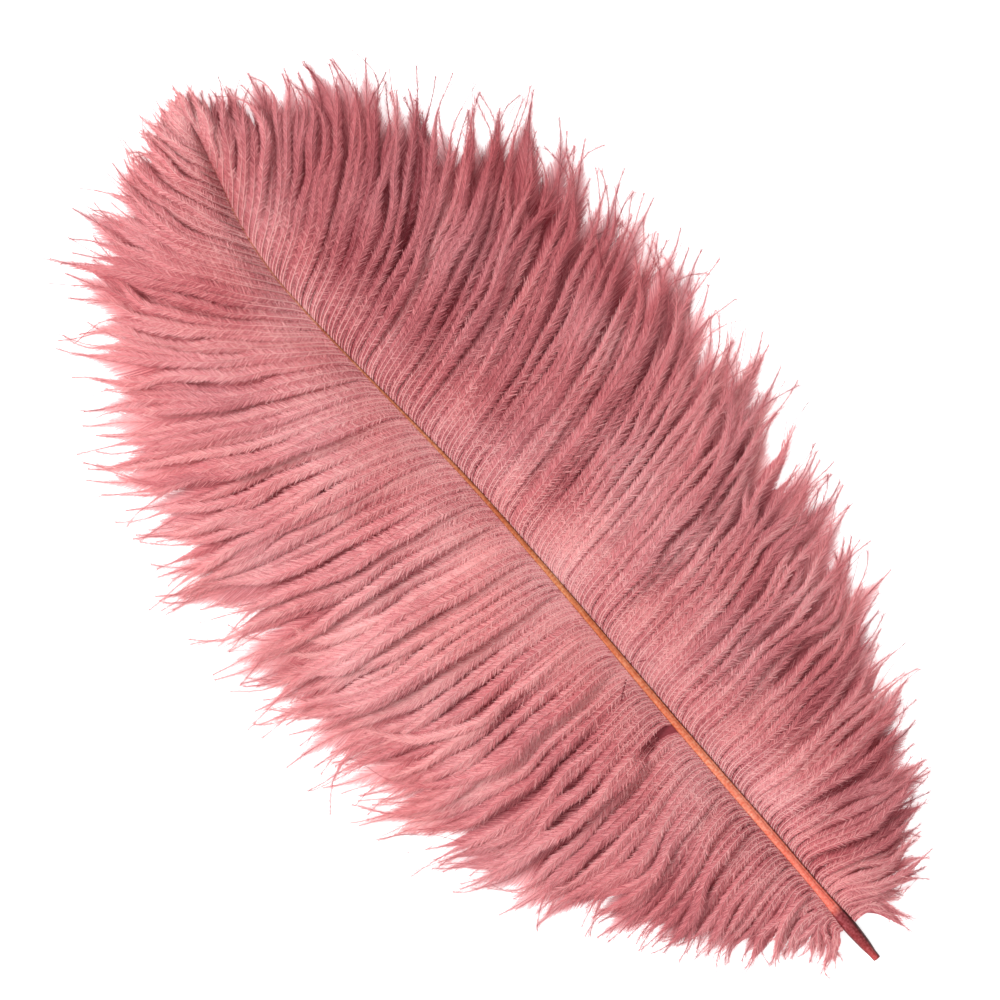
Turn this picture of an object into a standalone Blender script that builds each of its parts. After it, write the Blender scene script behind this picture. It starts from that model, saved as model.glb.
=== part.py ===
"""Ostrich feather lying flat, one grown piece: a shaft with a vane of soft locks on each side.

Metres, +Z up. The shaft runs along Y with its tip at +Y, and its flat underside lies at Z = 0.
The origin is on that underside, half way along the feather.
"""
import bmesh
import bpy
import numpy as np

MM = 0.001

# Driving sizes, in millimetres
LOCKS_PER_SIDE = 38      # locks of each vane, from the base to the tip
VANE_START = -172.0      # where along the shaft the lowest barbs grow
VANE_END = 189.0         # where the highest barbs grow
LOCK_CREST = 9.6         # height of a full lock's ridge above the surface it lies on
FURROW_HEIGHT = 4.9      # height of the furrows between full locks
UNDERSIDE_LIFT = 3.6     # how far the underside of a full lock arches off the surface
FULL_LENGTH = 70.0       # locks shorter than this are lower in proportion
ROOT_BEND = 3.5          # distance over which a barb turns out from the shaft
ROOT_ANGLE = 32.0        # degrees from the shaft's direction at which it leaves it
TIP_HEIGHT = 1.1         # height of a lock's tip
SPLIT = 7                # station of a lock from which it stands free of its neighbours
TAPER = 1.5              # how late a free tip narrows: 1 is a plain wedge, more is fuller
LENGTH_SPREAD = 0.045    # share by which the locks' lengths differ
TIP_DRIFT = 3.2          # how far a lock's tip strays to the side
SEED = 11

# Stations along a lock, as shares of its length
ALONG = np.array([0.0, 0.03, 0.08, 0.19, 0.33, 0.47, 0.61, 0.74, 0.83, 0.92, 1.0])

# Centreline of the shaft: place along the feather, sideways place
SHAFT_Y = np.array([-192.5, -150, -90, -10, 30, 60, 90, 115, 130, 150, 170, 186, 190])
SHAFT_X = np.array([5.6, 4.4, 2.4, 0.4, -1.4, -4.4, -7.4, -9.6, -10.1, -8.3, -3.6, 0.2, 1.2])

# Section of the shaft: width, height, and how flat its top is (0 round, 1 flat)
SECTION_Y = np.array([-192.5, -190, -187, -182, -175, -170, -130, -80, -30, 30, 70, 100, 140, 190])
SECTION_WIDTH = np.array([2.8, 3.0, 3.8, 4.6, 5.0, 4.4, 3.6, 3.2, 2.6, 1.7, 1.1, 0.8, 0.6, 0.5])
SECTION_HEIGHT = np.array([2.4, 2.7, 3.5, 4.3, 4.6, 4.2, 3.6, 3.1, 2.6, 1.9, 1.5, 1.2, 0.9, 0.6])
SECTION_FLAT = np.array([0, 0, 0, 0, 0, 0.7, 1, 1, 1, 1, 1, 1, 1, 1])
QUILL_STATIONS = np.array([-192.5, -190, -187, -182, -176])

# How the barbs grow: place along the shaft, length, and the angle from the shaft's direction
# near the shaft, half way out and at the tip
GROWTH_Y = np.array([-172, -150, -120, -80, -30, 20, 70, 110, 140, 165, 180, 189])
RIGHT_GROWTH = {
    "length": np.array([30, 50, 70, 88, 106, 112, 104, 86, 66, 36, 15, 7]),
    "near": np.array([118, 104, 95, 86, 80, 80, 78, 70, 62, 52, 38, 10]),
    "middle": np.array([112, 102, 92, 84, 76, 72, 66, 58, 46, 32, 22, 5]),
    "tip": np.array([108, 98, 84, 74, 68, 60, 48, 36, 26, 18, 12, 4]),
}
LEFT_GROWTH = {
    "length": np.array([22, 42, 66, 88, 106, 109, 103, 80, 53, 31, 13, 7]),
    "near": np.array([110, 98, 94, 96, 90, 76, 72, 64, 50, 36, 28, 10]),
    "middle": np.array([118, 112, 106, 94, 88, 84, 70, 54, 34, 22, 16, 6]),
    "tip": np.array([118, 114, 104, 86, 72, 66, 60, 40, 20, 12, 8, 4]),
}

BARB_COLOUR = (0.56, 0.17, 0.18, 1.0)
SHAFT_COLOUR = (0.71, 0.20, 0.12, 1.0)


def clear_scene():
    """Remove the objects that a new file holds."""
    for old in list(bpy.data.objects):
        bpy.data.objects.remove(old)


def eased(at, stations, values):
    """Read a smooth curve through (stations, values): a cubic with the neighbours' slope at each."""
    stations = np.asarray(stations, float)
    values = np.asarray(values, float)
    slopes = np.gradient(values, stations)
    low = np.clip(np.searchsorted(stations, at) - 1, 0, len(stations) - 2)
    span = stations[low + 1] - stations[low]
    s = np.clip((at - stations[low]) / span, 0.0, 1.0)
    rise = values[low + 1] - values[low]
    start = slopes[low] * span
    end = slopes[low + 1] * span
    return values[low] + s * (start + s * (3 * rise - 2 * start - end + s * (start + end - 2 * rise)))


def shaft_rings(places):
    """Vertices around the shaft at each place, nine to a ring.

    The ring starts low on the left side and goes over the top to the right, then along the
    underside: side foot, side head, top edge, groove, top edge, side head, side foot, and
    the two edges of the flat underside.
    """
    width = eased(places, SECTION_Y, SECTION_WIDTH)
    height = eased(places, SECTION_Y, SECTION_HEIGHT)
    flat = eased(places, SECTION_Y, SECTION_FLAT)
    top = 0.28 + 0.14 * flat
    groove = 1.0 - 0.09 * flat
    across = np.stack([-0.5 + 0 * top, -0.5 + 0 * top, -top, 0.06 * flat, top,
                       0.5 + 0 * top, 0.5 + 0 * top, 0.32 + 0 * top, -0.32 + 0 * top], axis=1)
    up = np.stack([0.26 + 0 * top, 0.70 + 0 * top, 1.0 + 0 * top, groove, 1.0 + 0 * top,
                   0.70 + 0 * top, 0.26 + 0 * top, 0 * top, 0 * top], axis=1)
    centre = eased(places, SHAFT_Y, SHAFT_X)
    points = np.empty(across.shape + (3,))
    points[..., 0] = centre[:, None] + across * width[:, None]
    points[..., 1] = places[:, None]
    points[..., 2] = up * height[:, None]
    return points


def barb_lines(side, roots, starts, reach, drift):
    """Plan of the lines that the barbs follow from their roots on the shaft.

    The direction turns from the root angle to the near angle within a few millimetres, then
    through the middle angle to the tip angle. reach scales each line's length, and drift bends
    its free end along the feather.
    """
    growth = RIGHT_GROWTH if side > 0 else LEFT_GROWTH
    length = eased(roots, GROWTH_Y, growth["length"]) * reach
    near, middle, tip = (np.radians(eased(roots, GROWTH_Y, growth[name]))[:, None]
                         for name in ("near", "middle", "tip"))
    steps = np.linspace(0.0, 1.0, 121)
    bow = 2 * middle - 0.5 * (near + tip)
    angle = (1 - steps) ** 2 * near + 2 * steps * (1 - steps) * bow + steps ** 2 * tip
    from_root = steps * length[:, None]
    angle = angle - (angle - np.radians(ROOT_ANGLE)) * np.exp(-from_root / ROOT_BEND)
    stride = length[:, None] / (len(steps) - 1)
    out = np.cumsum(np.sin(angle) * stride, axis=1) - np.sin(angle[:, :1]) * stride
    forward = np.cumsum(np.cos(angle) * stride, axis=1) - np.cos(angle[:, :1]) * stride
    picked = np.round(ALONG * (len(steps) - 1)).astype(int)
    free = np.clip((ALONG - ALONG[SPLIT]) / (1 - ALONG[SPLIT]), 0, 1) ** 1.5
    plan = np.empty((len(roots), len(ALONG), 2))
    plan[..., 0] = starts[:, None] + side * out[:, picked]
    plan[..., 1] = roots[:, None] + forward[:, picked] + free * drift[:, None]
    return plan, length


def arch(length, crest, root_height, tip_height):
    """Height along a line: up from the root to its crest a third of the way out, down to the tip."""
    fullness = 0.35 + 0.65 * np.minimum(1.0, length / FULL_LENGTH)
    swell = eased(ALONG, [0, 0.05, 0.15, 0.35, 0.65, 0.85, 1.0], [0, 0.25, 0.7, 1.0, 0.85, 0.45, 0.0])
    base = root_height[:, None] * (1 - ALONG) + tip_height * ALONG
    return base + swell * np.maximum(crest * fullness - root_height, 0.0)[:, None]


class Body:
    """Vertices and faces of the feather as they are laid out."""

    def __init__(self):
        self.points = []
        self.faces = []
        self.finish = []

    def add(self, points):
        """Add an array of points and return the array of their numbers."""
        points = np.asarray(points, float)
        first = len(self.points)
        flat = points.reshape(-1, 3)
        self.points.extend(map(tuple, flat))
        return np.arange(first, first + len(flat)).reshape(points.shape[:-1])

    def face(self, *corners, finish=0):
        """Add one face."""
        self.faces.append([int(corner) for corner in corners])
        self.finish.append(finish)

    def strip(self, first, second, finish=0):
        """Join two rows of vertices with four-sided faces."""
        for a, b, c, d in zip(first[:-1], first[1:], second[1:], second[:-1]):
            self.face(a, b, c, d, finish=finish)


def add_shaft(body, vane_places):
    """Lay out the shaft, closed at both ends and left open at the sides where the vanes join."""
    quill = body.add(shaft_rings(QUILL_STATIONS) * MM)
    rachis = body.add(shaft_rings(vane_places) * MM)
    rings = np.concatenate([quill, rachis])
    for lower, upper in zip(rings[:-1], rings[1:]):
        in_quill = upper[0] <= rachis[0][0]
        for corner in range(9):
            following = (corner + 1) % 9
            if not in_quill and corner in (0, 5):
                continue
            body.face(lower[corner], lower[following], upper[following], upper[corner], finish=1)
    body.face(*rings[0], finish=1)
    body.face(*rings[-1], finish=1)
    return rachis


def add_vane(body, side, rachis, places, random):
    """Lay out one vane: locks that share their furrows near the shaft and end in free tips."""
    foot, head = (rachis[:, 6], rachis[:, 5]) if side > 0 else (rachis[:, 0], rachis[:, 1])
    starts = np.array([body.points[number][0] for number in head]) / MM
    root_height = np.array([body.points[number][2] for number in head]) / MM
    ridge = np.arange(len(places)) % 2 == 1
    reach = np.where(ridge, 1 + random.uniform(-LENGTH_SPREAD, LENGTH_SPREAD, len(places)), 1.0)
    drift = np.where(ridge, random.uniform(-TIP_DRIFT, TIP_DRIFT, len(places)), 0.0)
    crest = np.where(ridge, LOCK_CREST * random.uniform(0.82, 1.08, len(places)), FURROW_HEIGHT)
    plan, length = barb_lines(side, places, starts, reach, drift)
    foot_height = np.array([body.points[number][2] for number in foot]) / MM
    top = np.dstack([plan, arch(length, crest, root_height, TIP_HEIGHT)])
    under = np.dstack([plan, arch(length, UNDERSIDE_LIFT, foot_height, 0.0)])

    shared = SPLIT + 1
    top_numbers = np.column_stack([head, body.add(top[:, 1:shared] * MM)])
    under_numbers = np.column_stack([foot, body.add(under[:, 1:shared] * MM)])
    for first in range(0, len(places) - 1, 2):
        lock = slice(first, first + 3)
        add_lock(body, top[lock], under[lock], top_numbers[lock], under_numbers[lock])
    body.strip(top_numbers[0], under_numbers[0])
    body.strip(top_numbers[-1], under_numbers[-1])


def add_lock(body, top, under, top_numbers, under_numbers):
    """Lay out one lock between two furrows: a ridge that runs on into a free, pointed tip."""
    low, crest, high = top_numbers
    body.strip(low, crest)
    body.strip(crest, high)
    body.face(under_numbers[0][0], under_numbers[1][0], under_numbers[2][0],
              under_numbers[2][1], under_numbers[0][1])
    body.strip(under_numbers[0][1:], under_numbers[2][1:])

    free = np.arange(SPLIT + 1, len(ALONG) - 1)
    narrow = ((ALONG[free] - ALONG[SPLIT]) / (1 - ALONG[SPLIT]))[:, None] ** TAPER
    edges_top = [top[row, free] * (1 - narrow) + top[1, free] * narrow for row in (0, 2)]
    edges_under = [under[row, free] * (1 - narrow) + under[1, free] * narrow for row in (0, 2)]
    ring = np.stack([edges_top[0], top[1, free], edges_top[1], edges_under[1], edges_under[0]], axis=1)
    numbers = body.add(ring * MM)
    joint = [low[SPLIT], crest[SPLIT], high[SPLIT], under_numbers[2][SPLIT], under_numbers[0][SPLIT]]
    rings = np.vstack([joint, numbers])
    tip = body.add([top[1, -1] * MM])[0]
    for inner, outer in zip(rings[:-1], rings[1:]):
        body.strip(np.append(inner, inner[0]), np.append(outer, outer[0]))
    for first, second in zip(rings[-1], np.roll(rings[-1], -1)):
        body.face(first, second, tip)


def make_material(name, colour, roughness):
    """Plain material with a Principled BSDF."""
    material = bpy.data.materials.new(name)
    material.use_nodes = True
    shader = material.node_tree.nodes["Principled BSDF"]
    shader.inputs["Base Color"].default_value = colour
    shader.inputs["Roughness"].default_value = roughness
    shader.inputs["Metallic"].default_value = 0.0
    return material


def build_feather():
    """Build the whole feather as one closed mesh and place it in the scene."""
    random = np.random.default_rng(SEED)
    places = np.linspace(VANE_START, VANE_END, 2 * LOCKS_PER_SIDE + 1)
    body = Body()
    rachis = add_shaft(body, places)
    for side in (-1, 1):
        add_vane(body, side, rachis, places, random)
    mesh = bpy.data.meshes.new("feather")
    mesh.from_pydata(body.points, [], body.faces)
    mesh.materials.append(make_material("dyed barbs", BARB_COLOUR, 0.9))
    mesh.materials.append(make_material("dyed shaft", SHAFT_COLOUR, 0.45))
    mesh.polygons.foreach_set("material_index", body.finish)
    turned = bmesh.new()
    turned.from_mesh(mesh)
    bmesh.ops.recalc_face_normals(turned, faces=turned.faces)
    turned.to_mesh(mesh)
    turned.free()
    mesh.shade_smooth()
    mesh.set_sharp_from_angle(angle=np.radians(40))
    feather = bpy.data.objects.new("feather", mesh)
    bpy.context.collection.objects.link(feather)


clear_scene()
build_feather()
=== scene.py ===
"""Looks of a dyed ostrich feather that lies flat: its shaft, barbs and barbules, floor, light and camera.

All sizes are in millimetres until a mesh is written. The shaft runs along Y with its tip at +Y.
"""

import logging
import math
from dataclasses import dataclass, field
from enum import Enum

import bpy
import numpy as np
from bpy.types import Material, Mesh, Node, NodeSocket, NodeTree, Object
from mathutils import Matrix, Vector


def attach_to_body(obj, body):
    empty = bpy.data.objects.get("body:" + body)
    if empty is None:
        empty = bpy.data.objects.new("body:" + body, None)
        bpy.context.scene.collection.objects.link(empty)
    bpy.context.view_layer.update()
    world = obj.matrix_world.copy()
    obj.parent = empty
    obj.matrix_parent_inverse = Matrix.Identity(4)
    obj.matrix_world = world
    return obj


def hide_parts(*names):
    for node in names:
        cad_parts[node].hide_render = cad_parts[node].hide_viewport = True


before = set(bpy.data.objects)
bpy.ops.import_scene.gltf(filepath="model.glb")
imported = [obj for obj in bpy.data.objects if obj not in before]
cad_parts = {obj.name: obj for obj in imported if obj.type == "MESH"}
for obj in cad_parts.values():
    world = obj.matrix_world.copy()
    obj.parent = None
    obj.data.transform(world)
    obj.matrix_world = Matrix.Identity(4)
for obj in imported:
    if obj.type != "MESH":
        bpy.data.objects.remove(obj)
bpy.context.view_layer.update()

Array = np.ndarray
Colour = tuple[float, float, float]
Stops = tuple[tuple[float, Colour], ...]

MM = 0.001
TRIANGLE = np.radians([90.0, 210.0, 330.0])
ACROSS_RIBBON = np.array([0.0, 0.5, 1.0])
EVERY_OTHER = slice(None, None, 2)
LOG = logging.getLogger("feather")


class Side(Enum):
    """The two vanes, with the direction along X in which each grows."""

    LEFT = -1
    RIGHT = 1


def smoothstep(value: Array, low: float, high: float) -> Array:
    """Rise from 0 at low to 1 at high with level ends: 3 s squared minus 2 s cubed.

    Args:
        value: Where to read the step.
        low: Value at which it leaves 0.
        high: Value at which it reaches 1.

    Returns:
        The step, of value's shape.
    """
    s = np.clip((value - low) / (high - low), 0.0, 1.0)
    return s * s * (3 - 2 * s)


@dataclass(frozen=True)
class Curve:
    """A smooth curve through given stations.

    Between two stations it is the cubic that has, at each, the slope its neighbours give.
    """

    stations: tuple[float, ...]
    values: tuple[float, ...]

    def at(self, places: Array) -> Array:
        """Read the curve.

        Args:
            places: Where to read it.

        Returns:
            Its values there, of the same shape.
        """
        stations = np.array(self.stations, float)
        values = np.array(self.values, float)
        slopes = np.gradient(values, stations)
        low = np.clip(np.searchsorted(stations, places) - 1, 0, len(stations) - 2)
        span = stations[low + 1] - stations[low]
        s = np.clip((places - stations[low]) / span, 0.0, 1.0)
        rise = values[low + 1] - values[low]
        start = slopes[low] * span
        end = slopes[low + 1] * span
        return values[low] + s * (start + s * (3 * rise - 2 * start - end + s * (start + end - 2 * rise)))


@dataclass(frozen=True)
class Ripple:
    """Smooth noise over a plane: random heights on a grid, blended with smooth steps."""

    seed: int
    step_u: float
    step_v: float
    cells: int = 64

    def at(self, u: Array, v: Array) -> Array:
        """Read the noise, from -1 to 1.

        Args:
            u: First coordinate.
            v: Second coordinate, of a shape that broadcasts with u.

        Returns:
            The noise at each place.
        """
        table = np.random.default_rng(self.seed).uniform(-1, 1, (self.cells, self.cells))
        u, v = np.broadcast_arrays(u / self.step_u, v / self.step_v)
        low_u, low_v = np.floor(u).astype(int), np.floor(v).astype(int)
        part_u, part_v = smoothstep(u - low_u, 0, 1), smoothstep(v - low_v, 0, 1)
        a = table[low_u % self.cells, low_v % self.cells]
        b = table[(low_u + 1) % self.cells, low_v % self.cells]
        c = table[low_u % self.cells, (low_v + 1) % self.cells]
        d = table[(low_u + 1) % self.cells, (low_v + 1) % self.cells]
        return (a * (1 - part_u) + b * part_u) * (1 - part_v) + (c * (1 - part_u) + d * part_u) * part_v


@dataclass(frozen=True)
class ShaftForm:
    """Sizes of the shaft: its centreline and its section along the feather."""

    start: float = -192.5
    end: float = 190.0
    centre: Curve = Curve((-192.5, -150, -90, -10, 30, 60, 90, 115, 130, 150, 170, 186, 190),
                          (5.6, 4.4, 2.2, 0.0, -1.8, -4.5, -7.5, -9.6, -10.1, -8.3, -3.6, 0.2, 1.2))
    width: Curve = Curve((-192.5, -190, -187, -182, -175, -170, -130, -80, -30, 30, 70, 100, 140, 190),
                         (2.8, 3.0, 3.8, 4.6, 5.0, 4.2, 3.4, 2.9, 2.3, 1.5, 1.0, 0.8, 0.6, 0.5))
    height: Curve = Curve((-192.5, -190, -187, -182, -175, -170, -130, -80, -30, 30, 70, 100, 140, 190),
                          (2.4, 2.7, 3.5, 4.3, 4.6, 4.2, 3.6, 3.1, 2.6, 1.9, 1.5, 1.2, 0.9, 0.6))


@dataclass(frozen=True)
class Growth:
    """How the barbs of one vane grow along the shaft.

    The angles are in degrees from the shaft's direction, near the shaft, half way out and at the tip.
    """

    side: Side
    length: Curve
    near: Curve
    middle: Curve
    tip: Curve
    root_angle: float = 32.0
    root_bend: float = 3.5

    def lines(self, roots: Array, shaft: ShaftForm, reach: Array,
              turn: Array, curl: Array, steps: Array) -> tuple[Array, Array]:
        """Plan of the lines that barbs follow.

        The direction along a line is a quadratic Bezier of the three angles. Close to the root
        it starts from the root angle and reaches that with an exponential. The places are the
        running sums of the direction's sine and cosine.

        Args:
            roots: Places of the roots along the shaft.
            shaft: The shaft's form.
            reach: Factor on each barb's length.
            turn: Degrees by which each barb's free half turns towards the feather's tip.
            curl: Degrees by which its last quarter turns further.
            steps: Stations along a barb, as shares of its length.

        Returns:
            Places in plan (barbs, stations, 2), and the barbs' lengths.
        """
        length = self.length.at(roots) * reach
        near, middle, tip = (np.radians(curve.at(roots))[:, None]
                             for curve in (self.near, self.middle, self.tip))
        bow = 2 * middle - 0.5 * (near + tip)
        angle = (1 - steps) ** 2 * near + 2 * steps * (1 - steps) * bow + steps ** 2 * tip
        angle = angle - np.radians(turn)[:, None] * smoothstep(steps, 0.35, 1.0)
        angle = angle - np.radians(curl)[:, None] * smoothstep(steps, 0.72, 1.0)
        from_root = steps * length[:, None]
        first = np.minimum(near, math.radians(self.root_angle))
        angle = angle - (angle - first) * np.exp(-from_root / self.root_bend)
        stride = np.diff(from_root, axis=1)
        middle_angle = 0.5 * (angle[:, 1:] + angle[:, :-1])
        out = np.pad(np.cumsum(np.sin(middle_angle) * stride, axis=1), ((0, 0), (1, 0)))
        forward = np.pad(np.cumsum(np.cos(middle_angle) * stride, axis=1), ((0, 0), (1, 0)))
        start = shaft.centre.at(roots) + self.side.value * 0.45 * shaft.width.at(roots)
        plan = np.stack([start[:, None] + self.side.value * out, roots[:, None] + forward], axis=2)
        return plan, length


GROWTH_PLACES = (-172, -150, -120, -80, -30, 20, 70, 110, 140, 165, 180, 189)
GROWTHS = {
    Side.RIGHT: Growth(
        Side.RIGHT,
        length=Curve(GROWTH_PLACES, (34, 51, 77, 94, 112, 118, 114, 92, 61, 33, 20, 13)),
        near=Curve(GROWTH_PLACES, (122, 106, 95, 86, 80, 80, 80, 72, 66, 54, 36, 10)),
        middle=Curve(GROWTH_PLACES, (112, 101, 86, 80, 74, 68, 62, 50, 38, 28, 20, 5)),
        tip=Curve(GROWTH_PLACES, (104, 88, 72, 56, 60, 52, 42, 22, 8, 4, 6, 4))),
    Side.LEFT: Growth(
        Side.LEFT,
        length=Curve(GROWTH_PLACES, (22, 41, 65, 98, 113, 111, 106, 88, 57, 34, 20, 13)),
        near=Curve(GROWTH_PLACES, (110, 98, 96, 98, 86, 74, 70, 54, 42, 34, 24, 2)),
        middle=Curve(GROWTH_PLACES, (118, 112, 108, 92, 84, 80, 68, 38, 22, 15, 12, 0)),
        tip=Curve(GROWTH_PLACES, (118, 112, 98, 66, 66, 68, 52, 28, 10, 5, 3, -4))),
}
BASE_PLACES = (-178, -170, -163, -156)
BASE_GROWTHS = {
    Side.RIGHT: Growth(
        Side.RIGHT,
        length=Curve(BASE_PLACES, (17, 24, 30, 33)),
        near=Curve(BASE_PLACES, (160, 146, 132, 120)),
        middle=Curve(BASE_PLACES, (152, 136, 122, 112)),
        tip=Curve(BASE_PLACES, (140, 120, 104, 96))),
    Side.LEFT: Growth(
        Side.LEFT,
        length=Curve(BASE_PLACES, (14, 20, 25, 28)),
        near=Curve(BASE_PLACES, (158, 142, 126, 114)),
        middle=Curve(BASE_PLACES, (154, 138, 124, 114)),
        tip=Curve(BASE_PLACES, (150, 134, 118, 108))),
}


@dataclass
class MeshParts:
    """Vertices, faces and per-vertex values of a piece, gathered from several arrays.

    The shade is the depth of the dye, with painted light and shade in it. The lie holds which barbule a
    point belongs to, as its place along the rib, and how far out along it the point is, both in millimetres,
    and then how frayed the down is.
    The cover is how much of the view the down takes where it isn't frayed.
    """

    points: list[Array] = field(default_factory=list)
    faces: list[Array] = field(default_factory=list)
    shades: list[Array] = field(default_factory=list)
    lies: list[Array] = field(default_factory=list)
    covers: list[Array] = field(default_factory=list)
    count: int = 0

    def add(self, points: Array, faces: Array, shade: Array,
            lie: Array | None = None, cover: Array | None = None) -> None:
        """Add a mesh.

        Args:
            points: Vertices (n, 3) in millimetres.
            faces: Corner numbers (m, 3) or (m, 4), counted from 0 in this mesh.
            shade: Value from 0 to 1 for each vertex.
            lie: Values (n, 3) for each vertex of down, and none for anything solid.
            cover: Value from 0 to 1 for each vertex, and none for anything solid.
        """
        self.points.append(points.reshape(-1, 3))
        if faces.shape[1] == 4:
            faces = np.concatenate([faces[:, [0, 1, 2]], faces[:, [0, 2, 3]]])
        self.faces.append(faces + self.count)
        self.shades.append(shade.reshape(-1))
        self.lies.append(np.zeros((len(self.points[-1]), 3)) if lie is None else lie.reshape(-1, 3))
        self.covers.append(np.ones(len(self.points[-1])) if cover is None else cover.reshape(-1))
        self.count += len(self.points[-1])

    def build(self, name: str, smooth: bool) -> Object:
        """Write the mesh into a new object at the origin.

        Args:
            name: Name of the object.
            smooth: Whether its faces are shaded smooth.

        Returns:
            The object, with its shade, lie and cover as point attributes, and a bake map.
        """
        points = np.concatenate(self.points) * MM
        faces = np.concatenate(self.faces).astype(np.int32)
        mesh = bpy.data.meshes.new(name)
        mesh.vertices.add(len(points))
        mesh.vertices.foreach_set("co", points.astype(np.float32).ravel())
        mesh.loops.add(faces.size)
        mesh.loops.foreach_set("vertex_index", faces.ravel())
        mesh.polygons.add(len(faces))
        mesh.polygons.foreach_set("loop_start", np.arange(0, faces.size, 3, dtype=np.int32))
        mesh.polygons.foreach_set("use_smooth", np.full(len(faces), smooth))
        mesh.update()
        for title, kind, key, values in (("shade", "FLOAT", "value", self.shades),
                                         ("cover", "FLOAT", "value", self.covers),
                                         ("lie", "FLOAT_VECTOR", "vector", self.lies)):
            layer = mesh.attributes.new(title, kind, "POINT")
            layer.data.foreach_set(key, np.concatenate(values).astype(np.float32).ravel())
        self.lay_bake_map(mesh, len(faces))
        piece = bpy.data.objects.new(name, mesh)
        bpy.context.scene.collection.objects.link(piece)
        return piece

    @staticmethod
    def lay_bake_map(mesh: Mesh, face_count: int) -> None:
        """Give each face its own half of a square cell, so that no two share a place in the map.

        Args:
            mesh: The mesh that gets the map.
            face_count: How many triangles it has.
        """
        cells = math.ceil(math.sqrt((face_count + 1) // 2))
        number = np.arange(face_count)
        cell = number // 2
        corner = np.stack([cell % cells, cell // cells], axis=1)[:, None, :]
        low = np.array([[0.1, 0.1], [0.8, 0.1], [0.1, 0.8]])
        high = np.array([[0.9, 0.9], [0.2, 0.9], [0.9, 0.2]])
        inside = np.where((number % 2 == 0)[:, None, None], low, high)
        layer = mesh.uv_layers.new(name="OFBake")
        layer.data.foreach_set("uv", ((corner + inside) / cells).astype(np.float32).ravel())


def tube_faces(rows: int, stations: int, around: int, closed: bool) -> Array:
    """Corner numbers of the faces of many ribbons or tubes laid out as (row, station, around).

    Args:
        rows: How many ribbons.
        stations: Stations along each.
        around: Vertices across a ribbon, or around a tube.
        closed: Whether the last vertex of a station joins the first.

    Returns:
        Faces with four corners.
    """
    number = np.arange(rows * stations * around).reshape(rows, stations, around)
    following = np.roll(number, -1, axis=2)
    if not closed:
        number, following = number[..., :-1], following[..., :-1]
    quads = np.stack([number[:, :-1], following[:, :-1], following[:, 1:], number[:, 1:]], axis=-1)
    return quads.reshape(-1, 4)


@dataclass
class Barbs:
    """The barbs of one vane: arrays over the barbs, and from points on over (barb, station).

    The strand is the middle of the strand that a barb gathers in, and steps are the stations as shares
    of a barb's length. A barb under the others lies low, a stray rides over its neighbours, and a wisp
    ends in a long bare rib. Across is the level direction square to a barb.
    """

    root: Array
    strand: Array
    strand_number: Array
    under: Array
    stray: Array
    wisp: Array
    length: Array
    steps: Array
    points: Array | None = None
    tangent: Array | None = None
    across: Array | None = None
    shade: Array | None = None


@dataclass
class Nick:
    """A short break across the barbs, seen as a dark toothed line: a level tube along a zigzag, coloured
    darkest as painted shade in the break.
    """

    line: tuple[tuple[float, float], ...]
    height: float
    tooth: float = 0.7
    radius: float = 0.55
    step: float = 0.55
    thin: float = 0.35

    def add(self, parts: MeshParts) -> None:
        """Add the break to a piece.

        The tube follows the line's points. Every other station stands aside by the tooth and is thin.

        Args:
            parts: Where the mesh goes.
        """
        corners = np.array(self.line)
        lengths = np.linalg.norm(np.diff(corners, axis=0), axis=1)
        along = np.append(0.0, np.cumsum(lengths))
        stations = np.linspace(0, along[-1], max(4, int(along[-1] / self.step)))
        path = np.stack([np.interp(stations, along, corner) for corner in corners.T], axis=1)
        path[1::2, 0] += self.tooth
        thickness = self.radius * np.where(np.arange(len(path)) % 2 == 0, 1.0, self.thin)[:, None]
        ring = np.stack([path[:, :1] + thickness * np.cos(TRIANGLE), path[:, 1:] + 0 * TRIANGLE,
                         self.height + thickness * np.sin(TRIANGLE)], axis=2)
        # Painted shade in the break: the tube takes the darkest colour.
        parts.add(ring, tube_faces(1, len(path), 3, True), np.zeros(ring.shape[:2]))


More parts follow.
